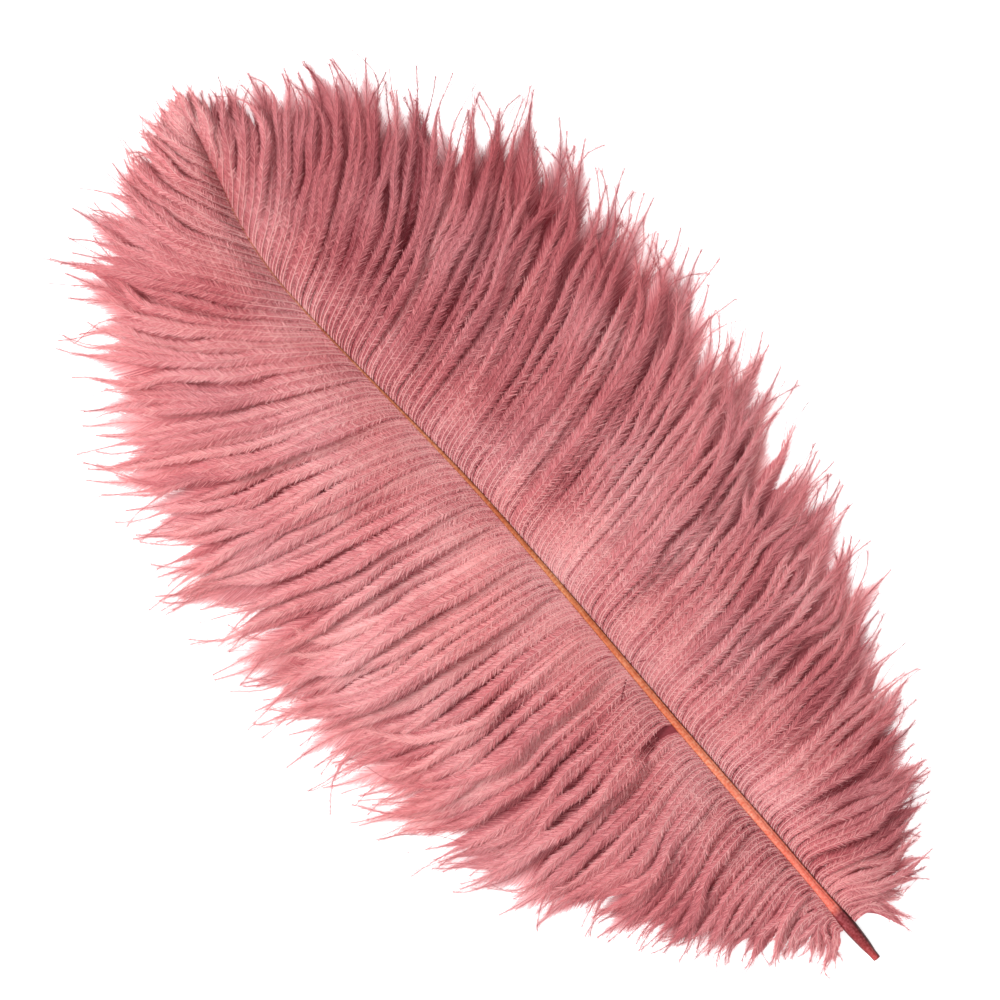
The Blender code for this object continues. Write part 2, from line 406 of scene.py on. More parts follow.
@dataclass
class Vane:
    """One vane: barbs that leave the shaft like the teeth of a comb, gather in strands and end in tufts.

    Barbs shorter than the full length crest lower. The lean is in degrees between a barb and its
    barbules, over the share of the barb's length. The tone along the shaft is added to the depth of the
    dye: the dye's own tone together with painted light and shade. The painted root shade is taken from it
    beside the shaft, as painted shade between the roots. Relief, plume and looseness are factors on the
    valleys between strands, on the width of the down in a barb's outer half and on how far barbs stray.
    Barbs that root in the torn stretch are pressed down and darkened as painted shade in the hollow. The
    vane is cut in pieces at the cuts.
    """

    growth: Growth
    shaft: ShaftForm
    seed: int
    title: str = "vane"
    start: float = -172.0
    end: float = 189.4
    barb_spacing: Curve = Curve((-172, 60, 120, 165, 190), (1.15, 1.2, 1.4, 1.15, 0.6))
    strand_width: float = 4.4
    tuft_width: float = 9.5
    upper_crest: float = 8.4
    under_crest: float = 4.6
    full_length: float = 70.0
    lowest: float = 0.35
    stations: int = 49
    barbule_spacing: float = 0.42
    lean: Curve = Curve((0, 0.12, 0.35, 0.6, 0.8, 1.0), (54, 54, 42, 31, 24, 20))
    # Tone of the dye along the shaft, partly painted light and shade.
    tone_and_painted_light: Curve = Curve((-172, -100, -40, 60, 130, 190), (-0.18, -0.09, 0.05, 0.02, -0.08, -0.04))
    relief: float = 0.8
    plume: float = 0.95
    looseness: Curve = Curve((-172, -155, -130), (2.4, 1.6, 1.0))
    # Painted shade between the roots beside the shaft, taken from the down's shade.
    painted_root_shade: Curve = Curve((-172, 50, 110, 190), (0.26, 0.30, 0.26, 0.16))
    torn: tuple[float, float] = (0.0, 0.0)
    nicks: tuple[Nick, ...] = ()
    cuts: tuple[float, ...] = (-172.5, -48.0, 52.0, 190.0)

    def grow(self) -> Barbs:
        """Work out where each barb lies.

        A barb starts on its own line, moves part of the way to the middle line of its strand and a
        little towards that of its tuft. Smooth noise bends it in plan and in height. Every third barb
        lies under the others. Its colour is darker low down and in the valleys between strands, as painted
        shade, and lighter beside the shaft, as painted light. Barbs in the torn stretch are darker, as
        painted shade.

        Returns:
            The barbs' arrays.
        """
        random = np.random.default_rng(self.seed)
        rung = 0.1
        ladder = np.arange(self.start, self.end, rung)
        number = np.cumsum(rung / self.barb_spacing.at(ladder))
        root = np.interp(np.arange(1, int(number[-1])), number, ladder)
        count = len(root)
        root = root + random.uniform(-0.3, 0.3, count)
        under = np.arange(count) % 3 == 1
        steps = np.linspace(0, 1, self.stations) ** 1.25
        strand, strand_number = self.gather(root, self.strand_width, random)
        tuft, tuft_number = self.gather(root, self.tuft_width, random)
        reach = random.uniform(0.91, 1.07, count)
        reach = reach * (1 + random.uniform(-0.03, 0.03, tuft_number.max() + 1)[tuft_number])
        reach = reach * (1 - 0.025 * np.minimum(1, np.abs(root - tuft) / (0.5 * self.tuft_width)) ** 2)
        wisp = random.uniform(0, 1, count) < 0.20
        reach = reach + np.where(wisp, random.uniform(2.0, 9.0, count), 0) / self.growth.length.at(root)
        stray = (random.uniform(0, 1, count) < 0.10 * self.looseness.at(root) ** 1.5) & ~under
        loose = self.looseness.at(root) * np.where(under, 0.35, 1.0)
        turn = random.normal(0, 7.0, count) * loose + np.where(stray, random.uniform(-20, 45, count), 0)
        strand_turn = random.normal(0, 3.5, strand_number.max() + 1)[strand_number]
        turn = turn + strand_turn * np.where(under, 0.2, 1.0)
        curl = random.normal(0, 22.0, count) * np.minimum(loose, 1.2)

        own, length = self.growth.lines(root, self.shaft, reach, turn, curl, steps)
        strand_line, _ = self.growth.lines(strand, self.shaft, reach, turn, curl, steps)
        tuft_line, _ = self.growth.lines(tuft, self.shaft, reach, turn, curl, steps)
        from_root = steps * length[:, None]
        to_strand = 0.08 * smoothstep(from_root, 2.0, 8.0) + 0.42 * smoothstep(from_root, 14.0, 50.0)
        to_strand = to_strand * (1 - 0.8 * smoothstep(steps, 0.68, 1.0))
        to_strand = to_strand * np.where(stray, 0.4, np.where(under, 0.1, 1.0))[:, None]
        to_strand = to_strand * (1 - 0.5 * smoothstep(root, 110.0, 160.0))[:, None]
        to_tuft = 0.12 * smoothstep(steps, 0.50, 0.95)
        plan = own + (strand_line - own) * to_strand[..., None]
        plan = plan + (tuft_line - plan) * to_tuft[..., None]

        along = np.gradient(plan, axis=1)
        along = along / np.linalg.norm(along, axis=2, keepdims=True)
        aside = np.stack([-along[..., 1], along[..., 0]], axis=2)
        sway = Ripple(self.seed + 1, 24.0, 34.0).at(root[:, None], from_root)
        fine = Ripple(self.seed + 2, 3.6, 13.0).at(root[:, None], from_root)
        curly = Ripple(self.seed + 6, 2.6, 19.0).at(root[:, None], from_root)
        bend = 3.4 * sway * smoothstep(steps, 0.1, 1.0)
        fine = 1.7 * fine * smoothstep(steps, 0.1, 0.45) + 2.1 * curly * smoothstep(steps, 0.35, 0.9)
        fine = fine * (0.4 + 0.6 * self.looseness.at(root))[:, None]
        bend = bend + fine * np.where(under, 0.4, 1.0)[:, None]
        plan = plan + aside * bend[..., None]

        ridges = 0.75 + 0.75 * Ripple(self.seed + 7, 10.0, 15.0).at(root[:, None], from_root)
        barbs = Barbs(root, strand, strand_number, under, stray, wisp, length, steps)
        height, crown = self.heights(barbs, random)
        relief = self.relief * (1 - 0.5 * smoothstep(root, 80.0, 140.0))
        valley = relief[:, None] * ridges * crown
        height = height - 2.0 * valley * smoothstep(from_root, 14.0, 42.0) * (1 - steps ** 3)
        sunk = ((root > self.torn[0]) & (root < self.torn[1]))[:, None] * (1 - smoothstep(from_root, 9, 20))
        height = np.maximum(height * (1 - 0.7 * sunk), self.lowest)
        barbs.points = np.dstack([plan, height])
        tangent = np.gradient(barbs.points, axis=1)
        tangent = tangent / np.linalg.norm(tangent, axis=2, keepdims=True)
        across = np.stack([-tangent[..., 1], tangent[..., 0], 0 * height], axis=2)
        across = across / np.linalg.norm(across, axis=2, keepdims=True)
        # Painted shade: under barbs are darker. The tone adds the dye's tone along the shaft together with
        # painted light and shade.
        shade = np.where(under, 0.39, 0.63) + random.uniform(-0.05, 0.05, count) + self.tone_and_painted_light.at(root)
        shade = shade + 0.06 * relief * random.normal(0, 1, strand_number.max() + 1)[strand_number]
        patch = Ripple(self.seed + 5, 16.0, 22.0).at(root[:, None], from_root)
        shade = shade[:, None] + 0.10 * relief[:, None] * patch
        # Painted shade: darker in the valleys between strands.
        shade = shade - 0.18 * valley * smoothstep(from_root, 10.0, 32.0)
        # Painted light: under barbs lighter near the shaft and towards their tips, and all barbs lighter
        # beside the shaft. Painted shade: darker in the torn hollow.
        lit = np.maximum(smoothstep(steps, 0.6, 0.85), 0.5 * (1 - smoothstep(from_root, 14.0, 38.0)))
        shade = shade + 0.20 * under[:, None] * lit
        shade = shade + 0.19 * (1 - smoothstep(from_root, 5.0, 26.0)) - 0.60 * sunk
        barbs.tangent, barbs.across, barbs.shade = tangent, across, shade
        return barbs

    def gather(self, root: Array, width: float,
               random: np.random.Generator) -> tuple[Array, Array]:
        """Put the barbs in groups of uneven width along the shaft.

        Args:
            root: Places of the roots.
            width: Mean width of a group.
            random: Source of the uneven widths.

        Returns:
            The middle of each barb's group, and the group's number.
        """
        edges = self.start + np.cumsum(random.uniform(0.5, 1.5, int(500 / width)) * width)
        number = np.searchsorted(edges, root)
        total = np.bincount(number, weights=root)
        members = np.maximum(np.bincount(number), 1)
        return (total / members)[number], number

    def heights(self, barbs: Barbs, random: np.random.Generator) -> tuple[Array, Array]:
        """Height of each barb above the ground that the feather lies on.

        A barb starts on the shaft's side, crests a third of the way out and droops to its tip. Long barbs
        crest higher, strays ride over the rest, and each strand has its own height.

        Args:
            barbs: The barbs, of which all up to the steps is known.
            random: Source of the strands' different heights.

        Returns:
            Heights (barb, station), and the square of how far each barb is off its strand's crest.
        """
        root, steps = barbs.root, barbs.steps
        swell = Curve((0, 0.05, 0.15, 0.35, 0.65, 0.85, 1.0), (0, 0.22, 0.66, 1.0, 0.86, 0.5, 0.0)).at(steps)
        fullness = 0.32 + 0.68 * np.minimum(1, barbs.length / self.full_length)
        crest = np.where(barbs.under, self.under_crest, self.upper_crest)
        own = random.normal(0, 0.17, barbs.strand_number.max() + 1)
        crest = crest * (1 + own[barbs.strand_number])
        root_height = 0.62 * self.shaft.height.at(root)
        rise = np.maximum(crest * fullness - root_height, 0.2) + np.where(barbs.stray, 1.6, 0)
        off_crest = np.minimum(1.2, np.abs(root - barbs.strand) / (0.5 * self.strand_width))[:, None] ** 2
        from_root = steps * barbs.length[:, None]
        wave = Ripple(self.seed + 3, 9.0, 17.0).at(root[:, None], from_root)
        height = root_height[:, None] * (1 - steps) + 1.1 * steps + swell * rise[:, None]
        height = height + 0.9 * wave * smoothstep(from_root, 5.0, 25.0) * (1 - 0.6 * steps)
        return np.maximum(height, self.lowest), off_crest

    def ribs(self, barbs: Barbs, chosen: Array, parts: MeshParts) -> None:
        """Add the barbs' ribs: slender three-sided tubes that taper to a point.

        Args:
            barbs: The vane's barbs.
            chosen: Numbers of the barbs to add.
            parts: Where the mesh goes.
        """
        points = barbs.points[chosen][:, EVERY_OTHER]
        across = barbs.across[chosen][:, EVERY_OTHER]
        steps = barbs.steps[EVERY_OTHER]
        radius = Curve((0, 0.1, 0.4, 0.8, 1.0), (0.26, 0.20, 0.15, 0.12, 0.075)).at(steps)
        radius = radius * (1 + 0.35 * smoothstep(barbs.root[chosen], 60, 110))[:, None]
        up = np.cross(barbs.tangent[chosen][:, EVERY_OTHER], across)
        up = up * np.where(up[..., 2:] < 0, -1, 1)
        ring = (points[:, :, None]
                + radius[:, :, None, None] * (np.cos(TRIANGLE)[:, None] * across[:, :, None]
                                              + np.sin(TRIANGLE)[:, None] * up[:, :, None]))
        from_root = steps * barbs.length[chosen][:, None]
        paler = 0.46 - 0.24 * smoothstep(from_root, 8.0, 34.0) - 0.72 * smoothstep(steps, 0.80, 0.98)
        shade = np.clip(barbs.shade[chosen][:, EVERY_OTHER] + paler, 0, 1)
        shade = np.repeat(shade[..., None], 3, axis=2)
        parts.add(ring, tube_faces(len(points), len(steps), 3, True), shade)

    def down(self, barbs: Barbs, chosen: Array, parts: MeshParts) -> None:
        """Add the down of each barb: on either side of its rib a curved ribbon of close barbules.

        A ribbon falls away from the rib with the square of the distance, more on the side that looks to
        the quill. A point on it belongs to the barbule that starts as far back along the rib as the
        distance from the rib over the tangent of the barbule's lean.

        Args:
            barbs: The vane's barbs.
            chosen: Numbers of the barbs to add.
            parts: Where the mesh goes.
        """
        random = np.random.default_rng(self.seed + 70 + int(chosen[0]))
        points = barbs.points[chosen][:, EVERY_OTHER]
        across = barbs.across[chosen][:, EVERY_OTHER]
        steps = barbs.steps[EVERY_OTHER]
        from_root = steps * barbs.length[chosen][:, None]
        width = Curve((0, 4, 12, 28, 50, 130), (0.75, 0.95, 1.5, 2.3, 2.8, 2.8)).at(from_root)
        width = np.minimum(width, 0.5 + 0.04 * barbs.length[chosen][:, None])
        under = barbs.under[chosen][:, None]
        spread = np.where(under, 0.7, self.plume - 1.0) * smoothstep(from_root, 22.0, 55.0)
        taper = np.where(under, smoothstep(steps, 0.82, 0.99), smoothstep(steps, 0.72, 0.95))
        width = width * (1 + spread) * (1 - 0.96 * taper)
        width = width * random.uniform(0.85, 1.2, len(chosen))[:, None]
        width = width * (1 - barbs.wisp[chosen][:, None] * smoothstep(steps, 0.6, 0.88))
        lean = np.radians(self.lean.at(steps))[None, :, None]
        for sign in (-1.0, 1.0):
            out = width[..., None] * ACROSS_RIBBON
            ribbon = points[:, :, None] + sign * out[..., None] * across[:, :, None]
            drop = (0.8 if sign == self.growth.side.value else 1.3) * self.relief
            drop = drop * smoothstep(from_root, 3.0, 26.0) * (1 - 0.7 * smoothstep(steps, 0.6, 1.0))
            ribbon[..., 2] -= 0.12 + drop[..., None] * ACROSS_RIBBON ** 2
            ribbon[..., 2] = np.maximum(ribbon[..., 2], 0.12)
            line = from_root[..., None] - out / np.tan(lean)
            line = line + random.uniform(0, 900, len(chosen))[:, None, None]
            fray = ACROSS_RIBBON * (0.55 + 0.45 * smoothstep(from_root, 6.0, 20.0))[..., None]
            fray = fray * np.where(under, 0.6 * smoothstep(steps, 0.35, 0.65), 1.0)[..., None]
            fray = fray + 0.40 * smoothstep(steps, 0.72, 1.0)[None, :, None]
            wear = 0.12 * (self.looseness.at(barbs.root[chosen]) - 1)
            fray = fray + wear[:, None, None] * smoothstep(steps, 0.3, 0.8)[None, :, None]
            # Painted shade: the down is darker beside the shaft between the roots, and darker towards its
            # outer edge.
            root_shade = self.painted_root_shade.at(barbs.root[chosen])[:, None] * (1 - smoothstep(from_root, 4.0, 24.0))
            painted_shade = 0.10 * ACROSS_RIBBON + root_shade[..., None]
            shade = np.clip(barbs.shade[chosen][:, EVERY_OTHER, None] - painted_shade, 0, 1)
            lie = np.stack([line, out, fray], axis=-1)
            cover = 1 - 0.55 * smoothstep(steps, 0.72, 1.0)[None, :, None] * np.ones_like(line)
            parts.add(ribbon, tube_faces(len(points), len(steps), 3, False), shade, lie, cover)

    def shade_bed(self, low: float, high: float, parts: MeshParts) -> None:
        """Add a dark strip of painted shade where the barbs root: it lies beside the shaft and keeps the
        ground from sight.

        Args:
            low: Where it starts along the shaft.
            high: Where it ends.
            parts: Where the mesh goes.
        """
        place = np.arange(max(low, self.start), min(high, self.end - 3.0), 3.0)
        reach = np.minimum(8.0, 0.16 * self.growth.length.at(place))
        out = reach[:, None] * ACROSS_RIBBON
        x = self.shaft.centre.at(place)[:, None] + self.growth.side.value * out
        y = place[:, None] + 0.6 * out
        z = 0.35 * self.shaft.height.at(place)[:, None] + 0.12 * out
        parts.add(np.stack([x, y, z], axis=2), tube_faces(1, len(place), 3, False), np.full(x.shape, 0.03))

    def barbules(self, barbs: Barbs, chosen: Array, parts: MeshParts) -> None:
        """Add the barbules that stand clear of the down: thin blades on both sides of a rib.

        A barbule starts on the rib and leans out from it by an angle that falls from the shaft to
        the barb's tip, lifted by a few degrees. Each takes the dye a little differently, which draws
        the fine lines across a strand.

        Args:
            barbs: The vane's barbs.
            chosen: Numbers of the barbs that carry them.
            parts: Where the mesh goes.
        """
        random = np.random.default_rng(self.seed + 40 + int(chosen[0]))
        per_barb = (barbs.length[chosen] / self.barbule_spacing).astype(int)
        barb = np.repeat(chosen, per_barb)
        first = np.repeat(np.cumsum(per_barb) - per_barb, per_barb)
        order = (np.arange(len(barb)) - first + random.uniform(0, 1, len(barb))) / per_barb.repeat(per_barb)
        place = barbs.length[barb] * (1 - (1 - order) ** 1.1)
        seen = ~barbs.under[barb] | (place > 0.5 * barbs.length[barb])
        bare = barbs.wisp[barb] & (place > 0.88 * barbs.length[barb])
        barb, place = barb[seen & ~bare], place[seen & ~bare]
        for sign in (-1.0, 1.0):
            self.barbule_row(barbs, barb, place + random.uniform(-0.1, 0.1, len(barb)), sign, random, parts)

    def barbule_row(self, barbs: Barbs, barb: Array, place: Array, sign: float,
                    random: np.random.Generator, parts: MeshParts) -> None:
        """Add the barbules of one side of the ribs.

        Args:
            barbs: The vane's barbs.
            barb: Number of each barbule's barb.
            place: How far out along it each barbule grows.
            sign: The side of the rib.
            random: Source of what varies.
            parts: Where the mesh goes.
        """
        share = np.clip(place / barbs.length[barb], 0, 0.995)
        position = np.interp(share, barbs.steps, np.arange(len(barbs.steps)))
        low = np.minimum(position.astype(int), len(barbs.steps) - 2)
        part = (position - low)[:, None]

        def read(table: Array) -> Array:
            """Blend a table between the two stations next to each barbule."""
            return table[barb, low] * (1 - part) + table[barb, low + 1] * part

        base, tangent, across = read(barbs.points), read(barbs.tangent), read(barbs.across)
        shade = read(barbs.shade[..., None])[:, 0]
        own = random.normal(0, 1, (len(barb), 4))

        lean = self.lean.at(share)
        lean = np.radians(lean * (1 + 0.16 * own[:, 0]) + 5.0 * own[:, 1])
        lift = np.where(barbs.under[barb], 3.0, 13.0 - 7.0 * smoothstep(place, 10.0, 30.0))
        lift = np.radians(lift + 6.0 * own[:, 2])
        reach = Curve((0, 5, 14, 30, 45, 130), (0.8, 1.6, 2.4, 3.0, 3.4, 3.6)).at(place)
        reach = np.minimum(reach, 0.12 * barbs.length[barb]) * (1 - 0.35 * smoothstep(share, 0.8, 1.0))
        reach = reach * random.uniform(0.45, 1.3, len(barb))
        up = np.array([0.0, 0.0, 1.0])
        out = (np.cos(lift) * sign)[:, None] * across + np.sin(lift)[:, None] * up
        heading = np.cos(lean)[:, None] * tangent + np.sin(lean)[:, None] * out
        side = np.cross(heading, up + 0.2 * random.normal(0, 1, (len(barb), 3)))
        side = side / np.linalg.norm(side, axis=1, keepdims=True)
        half = (0.10 - 0.055 * smoothstep(share, 0.6, 0.9)) * random.uniform(0.4, 1.4, len(barb))
        half = half[:, None] * side
        tip = base + reach[:, None] * heading
        tip[:, 2] -= 0.12 * reach
        blade = np.stack([base - half, base + half, tip + 0.45 * half, tip - 0.45 * half], axis=1)
        blade[..., 2] = np.maximum(blade[..., 2], 0.05)
        ramp = np.array([0.0, 0.0, 0.12, 0.12])
        bright = np.where(own[:, 3:4] > 0.5, 0.24, np.where(own[:, 3:4] < -0.8, -0.18, -0.03))
        bright = bright * (1 - 0.45 * smoothstep(place, 25.0, 50.0))[:, None]
        colour = np.clip(shade[:, None] + ramp + bright + 0.05 * own[:, 3:4], 0, 1)
        parts.add(blade, np.arange(len(barb) * 4).reshape(-1, 4), colour)

    def build(self, firm: Material, soft: Material) -> list[Object]:
        """Build the vane as a few stretches along the shaft, each with its ribs and its down apart.

        Args:
            firm: Material of the ribs and the barbules that stand clear.
            soft: Material of the close down.

        Returns:
            The pieces.
        """
        barbs = self.grow()
        pieces = []
        names = ("lower", "middle", "upper")
        for name, low, high in zip(names, self.cuts[:-1], self.cuts[1:]):
            chosen = np.flatnonzero((barbs.root >= low) & (barbs.root < high))
            title = f"{self.growth.side.name.lower()}_{self.title}_{name}"
            clear, close = MeshParts(), MeshParts()
            for nick in self.nicks:
                if low <= nick.line[0][1] < high:
                    nick.add(clear)
            # A dark strip of painted shade under the roots.
            self.shade_bed(low, high, clear)
            self.ribs(barbs, chosen, clear)
            self.barbules(barbs, chosen, clear)
            self.down(barbs, chosen, close)
            for parts, suffix, finish in ((clear, "ribs", firm), (close, "down", soft)):
                piece = parts.build(f"{title}_{suffix}", smooth=True)
                piece.data.materials.append(finish)
                pieces.append(piece)
                LOG.info("%s: %d barbs, %d triangles", piece.name, len(chosen), len(piece.data.polygons))
        return pieces


@dataclass
class Shaft:
    """The shaft: a round calamus that runs on as a flat-faced, grooved rachis."""

    form: ShaftForm
    stations: int = 420
    around: int = 20

    def build(self, finish: Material) -> Object:
        """Build the shaft: a section that changes along the centreline, closed at both ends.

        The section is a rounded box: a circle whose cosine and sine are raised to a power
        below 1, with a shallow groove along its top.

        Args:
            finish: Its material.

        Returns:
            The piece.
        """
        form = self.form
        place = np.linspace(form.start, form.end, self.stations)
        turn = np.linspace(0, 2 * math.pi, self.around, endpoint=False)
        flat = smoothstep(place, -176, -168)[:, None]
        power = 1.0 - 0.45 * flat
        cosine, sine = np.cos(turn)[None], np.sin(turn)[None]
        x = 0.5 * form.width.at(place)[:, None] * np.sign(cosine) * np.abs(cosine) ** power
        z = 0.5 * form.height.at(place)[:, None] * (1 + np.sign(sine) * np.abs(sine) ** power)
        groove = np.exp(-((x / form.width.at(place)[:, None] - 0.30) / 0.09) ** 2)
        z = z - 0.10 * form.height.at(place)[:, None] * groove * flat * (sine > 0)
        x = x + form.centre.at(place)[:, None]
        y = np.broadcast_to(place[:, None], x.shape)
        ring = np.stack([x, y, z], axis=2)
        faces = tube_faces(1, self.stations, self.around, True)
        ends = ring[[0, -1]].mean(axis=1)
        across = np.broadcast_to(0.5 + 0.5 * np.sign(cosine) * np.abs(cosine) ** 0.6, x.shape)
        points = np.concatenate([ring.reshape(-1, 3), ends])
        first = np.arange(self.around)
        last = first + (self.stations - 1) * self.around
        total = self.stations * self.around
        parts = MeshParts()
        parts.add(points, faces, np.append(across.ravel(), [0.5, 0.5]))
        caps = np.concatenate([np.stack([np.roll(first, -1), first, np.full_like(first, total)], axis=1),
                               np.stack([last, np.roll(last, -1), np.full_like(last, total + 1)], axis=1)])
        parts.faces.append(caps)
        piece = parts.build("shaft", smooth=True)
        piece.data.materials.append(finish)
        LOG.info("shaft: %d triangles", len(piece.data.polygons))
        return piece


def feed(tree: NodeTree, node: Node, inputs: dict[str | int, object]) -> None:
    """Link or set the inputs of a node.

    Args:
        tree: The tree that the node is in.
        node: The node.
        inputs: For each input, by name or number, the socket that feeds it or its value.
    """
    for name, value in inputs.items():
        if isinstance(value, NodeSocket):
            tree.links.new(value, node.inputs[name])
        else:
            node.inputs[name].default_value = value


def add_node(tree: NodeTree, kind: str, inputs: dict[str | int, object], **settings: object) -> Node:
    """Add a shader node.

    Args:
        tree: Where it goes.
        kind: Its type, without the word ShaderNode.
        inputs: For each input, by name or number, the socket that feeds it or its value.
        settings: Its other settings.

    Returns:
        The node.
    """
    node = tree.nodes.new(f"ShaderNode{kind}")
    for name, value in settings.items():
        setattr(node, name, value)
    feed(tree, node, inputs)
    return node


def reckon(tree: NodeTree, operation: str, *values: NodeSocket | float, clamp: bool = False) -> NodeSocket:
    """Add a Math node.

    Args:
        tree: Where it goes.
        operation: What it does.
        values: A socket or a number for each input.
        clamp: Whether its result is kept between 0 and 1.

    Returns:
        What it puts out.
    """
    inputs = dict(enumerate(values))
    return add_node(tree, "Math", inputs, operation=operation, use_clamp=clamp).outputs["Value"]


def add_ramp(tree: NodeTree, level: NodeSocket, colours: Stops) -> NodeSocket:
    """Add a colour ramp.

    Args:
        tree: Where it goes.
        level: What it reads.
        colours: Its stops as a level and a colour, from level 0 to level 1.

    Returns:
        Its colour.
    """
    node = add_node(tree, "ValToRGB", {"Fac": level})
    stops = node.color_ramp.elements
    stops[0].color, stops[1].color = (*colours[0][1], 1.0), (*colours[-1][1], 1.0)
    for place, colour in colours[1:-1]:
        stops.new(place).color = (*colour, 1.0)
    return node.outputs["Color"]


def uneven_dye() -> NodeTree:
    """Make the group that both finishes share: dye that took unevenly.

    The colour is raised to a power of 1 and two noises: clouds 30 mm wide and grain under 1 mm wide.
    A power above 1 deepens the dye, because it lowers the weaker channels most.

    Returns:
        The group. It takes a colour, a place and the two amounts, and gives the colour and the grain.
    """
    group = bpy.data.node_groups.new("uneven_dye", "ShaderNodeTree")
    for name, way, kind in (("Color", "INPUT", "Color"), ("Place", "INPUT", "Vector"),
                            ("Clouds", "INPUT", "Float"), ("Grain", "INPUT", "Float"),
                            ("Color", "OUTPUT", "Color"), ("Grain", "OUTPUT", "Float")):
        group.interface.new_socket(name, in_out=way, socket_type=f"NodeSocket{kind}")
    given = group.nodes.new("NodeGroupInput").outputs
    power: NodeSocket | float = 1.0
    for amount, per_metre in (("Clouds", 33.0), ("Grain", 1300.0)):
        noise = add_node(group, "TexNoise", {"Vector": given["Place"], "Scale": per_metre, "Detail": 0.0})
        centred = reckon(group, "SUBTRACT", 0.5, noise.outputs["Fac"])
        power = reckon(group, "MULTIPLY_ADD", centred, given[amount], power)
    deepened = add_node(group, "Gamma", {"Color": given["Color"], "Gamma": power})
    feed(group, group.nodes.new("NodeGroupOutput"),
         {"Color": deepened.outputs["Color"], "Grain": noise.outputs["Fac"]})
    return group


@dataclass(frozen=True)
class BarbFinish:
    """Dusty rose dye on soft barbs, deep red as painted shade where it lies low and pale as painted light
    where it catches light.
    """

    dye: NodeTree
    deep: Colour = (0.30, 0.045, 0.060)
    body: Colour = (0.69, 0.226, 0.244)
    pale: Colour = (0.92, 0.50, 0.49)
    roughness: float = 0.75
    translucency: float = 0.3
    hatching: float = 1.9
    barbules_per_mm: float = 3.0
    hairs_per_mm: float = 4.2

    def streaks(self, tree: NodeTree, lie: NodeSocket, per_mm: float, detail: float) -> NodeSocket:
        """Add noise that is drawn out along the barbules: fast across them, slow along them.

        Args:
            tree: The material's nodes.
            lie: The lie attribute.
            per_mm: How many streaks there are in a millimetre of rib.
            detail: Levels of finer streaks.

        Returns:
            The noise.
        """
        stretched = add_node(tree, "VectorMath", {0: lie, 1: (per_mm, 0.16, 0.0)}, operation="MULTIPLY")
        place = stretched.outputs["Vector"]
        return add_node(tree, "TexNoise", {"Vector": place, "Scale": 1.0, "Detail": detail}).outputs["Fac"]

    def material(self, name: str, downy: bool) -> Material:
        """Make the material.

        The depth of the dye, with painted light and shade in it, is the shade attribute, and some light goes
        through. On close down, streaks along the barbules change the depth, and finer streaks cut it away
        where they are below its fray.

        Args:
            name: Name of the material.
            downy: Whether it covers close down, or else single barbules and ribs.

        Returns:
            The material.
        """
        material = bpy.data.materials.new(name)
        material.use_nodes = True
        tree = material.node_tree
        depth = add_node(tree, "Attribute", {}, attribute_name="shade").outputs["Fac"]
        if downy:
            lie = add_node(tree, "Attribute", {}, attribute_name="lie").outputs["Vector"]
            raised = reckon(tree, "SUBTRACT", self.streaks(tree, lie, self.barbules_per_mm, 1.0), 0.5)
            depth = reckon(tree, "MULTIPLY_ADD", raised, self.hatching, depth)
        colour = add_ramp(tree, depth, ((0.0, self.deep), (0.55, self.body), (1.0, self.pale)))
        where = add_node(tree, "TexCoord", {}).outputs["Object"]
        dyed = add_node(tree, "Group", {"Color": colour, "Place": where, "Clouds": 0.5, "Grain": 0.25},
                        node_tree=self.dye).outputs
        dull = reckon(tree, "MULTIPLY_ADD", dyed["Grain"], 0.2, self.roughness - 0.1)
        shader = tree.nodes["Principled BSDF"]
        feed(tree, shader, {"Base Color": dyed["Color"], "Roughness": dull, "Specular IOR Level": 0.25})
        through = add_node(tree, "BsdfTranslucent", {"Color": dyed["Color"]})
        lit = add_node(tree, "MixShader", {"Fac": self.translucency, 1: shader.outputs["BSDF"],
                                           2: through.outputs["BSDF"]})
        surface = lit.outputs["Shader"]
        if downy:
            surface = self.fray(tree, lie, surface)
        feed(tree, tree.nodes["Material Output"], {"Surface": surface})
        return material

    def fray(self, tree: NodeTree, lie: NodeSocket, surface: NodeSocket) -> NodeSocket:
        """Cut a surface into hairs.

        It stays where fine streaks are above 1.1 times the fray less 0.25, and there it hides what is
        behind it as far as the cover attribute says.

        Args:
            tree: The material's nodes.
            lie: The lie attribute.
            surface: The whole surface.

        Returns:
            The frayed surface.
        """
        fray = add_node(tree, "SeparateXYZ", {"Vector": lie}).outputs["Z"]
        cover = add_node(tree, "Attribute", {}, attribute_name="cover").outputs["Fac"]
        needed = reckon(tree, "MULTIPLY_ADD", fray, 1.1, -0.25)
        over = reckon(tree, "SUBTRACT", self.streaks(tree, lie, self.hairs_per_mm, 0.0), needed)
        whole = reckon(tree, "MULTIPLY", over, 12.0, clamp=True)
        kept = reckon(tree, "MULTIPLY", whole, cover)
        clear = add_node(tree, "BsdfTransparent", {}).outputs["BSDF"]
        return add_node(tree, "MixShader", {"Fac": kept, 1: clear, 2: surface}).outputs["Shader"]


